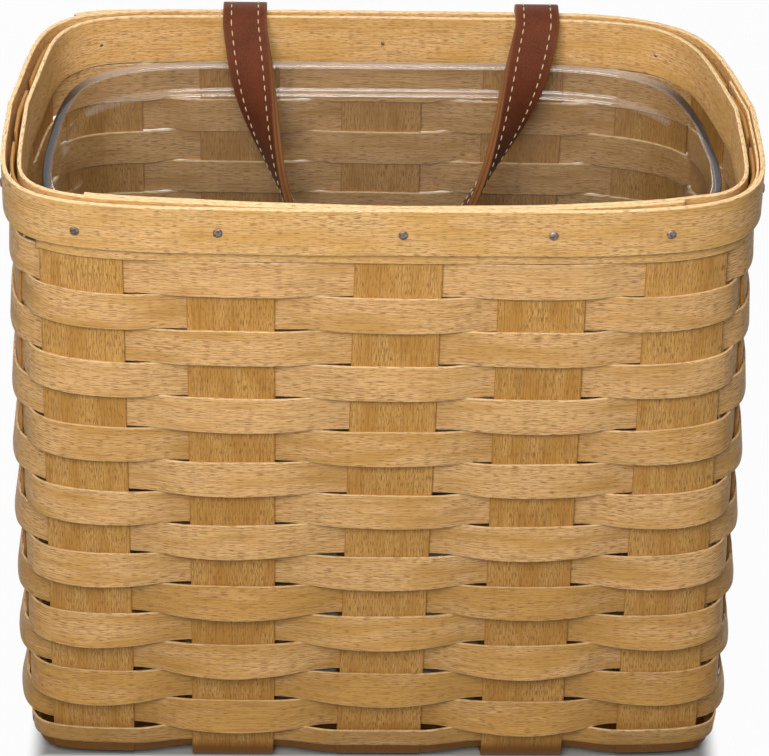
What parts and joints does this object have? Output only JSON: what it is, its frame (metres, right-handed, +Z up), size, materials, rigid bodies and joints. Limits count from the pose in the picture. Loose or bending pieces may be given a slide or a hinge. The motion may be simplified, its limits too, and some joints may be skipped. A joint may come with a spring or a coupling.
{
  "type": "wall pocket basket",
  "caption": "Tall flat-backed wall pocket basket woven from wood splints, with a tacked double rim, a leather hanging strap and a clear lift-out liner.",
  "frame": {"origin": "underside of the base at its centre, where the basket stands on a table", "axes": "+Z up, -Y towards the front, +X to the right as seen from the front; the strap is at the back, +Y"},
  "size_m": [0.2566, 0.1486, 0.235],
  "materials": {
    "stake_splint": "satin",
    "weaver_splint": "satin",
    "rim_splint": "satin",
    "strap_leather": "matte",
    "tack_metal": "satin",
    "liner_plastic": "gloss"
  },
  "bodies": {
    "basket": {"long_stake_1": "stake_splint", "long_stake_2": "stake_splint", "long_stake_3": "stake_splint", "long_stake_4": "stake_splint", "long_stake_5": "stake_splint", "cross_stake_1": "stake_splint", "cross_stake_2": "stake_splint", "cross_stake_3": "stake_splint", "weaver_row_01": "weaver_splint", "weaver_row_02": "weaver_splint", "weaver_row_03": "weaver_splint", "weaver_row_04": "weaver_splint", "weaver_row_05": "weaver_splint", "weaver_row_06": "weaver_splint", "weaver_row_07": "weaver_splint", "weaver_row_08": "weaver_splint", "weaver_row_09": "weaver_splint", "weaver_row_10": "weaver_splint", "weaver_row_11": "weaver_splint", "weaver_row_12": "weaver_splint", "weaver_row_13": "weaver_splint", "weaver_row_14": "weaver_splint", "weaver_row_15": "weaver_splint", "weaver_row_16": "weaver_splint", "rim_outer_band": "rim_splint", "rim_filler_strip": "rim_splint", "rim_inner_band": "rim_splint", "tack_front_1": "tack_metal", "tack_front_2": "tack_metal", "tack_front_3": "tack_metal", "tack_front_4": "tack_metal", "tack_front_5": "tack_metal", "tack_back_1": "tack_metal", "tack_back_3": "tack_metal", "tack_back_5": "tack_metal", "tack_left_1": "tack_metal", "tack_left_3": "tack_metal", "tack_right_1": "tack_metal", "tack_right_3": "tack_metal", "strap_tab_left": "strap_leather", "strap_tack_left": "tack_metal", "strap_tab_right": "strap_leather", "strap_tack_right": "tack_metal"},
    "strap": {"strap_loop": "strap_leather"},
    "liner": {"liner": "liner_plastic"}
  },
  "joints": [
    {"name": "strap_swing", "type": "hinge", "parent": "basket", "child": "strap", "pos_m": [0, 0.0667, 0.2355], "axis": [-1, 0, 0], "range_deg": [0, 165]},
    {"name": "liner_lift", "type": "slide", "parent": "basket", "child": "liner", "axis": [0, 0, 1], "range_m": [0, 0.24], "deforming": ["strap_loop"]}
  ]
}
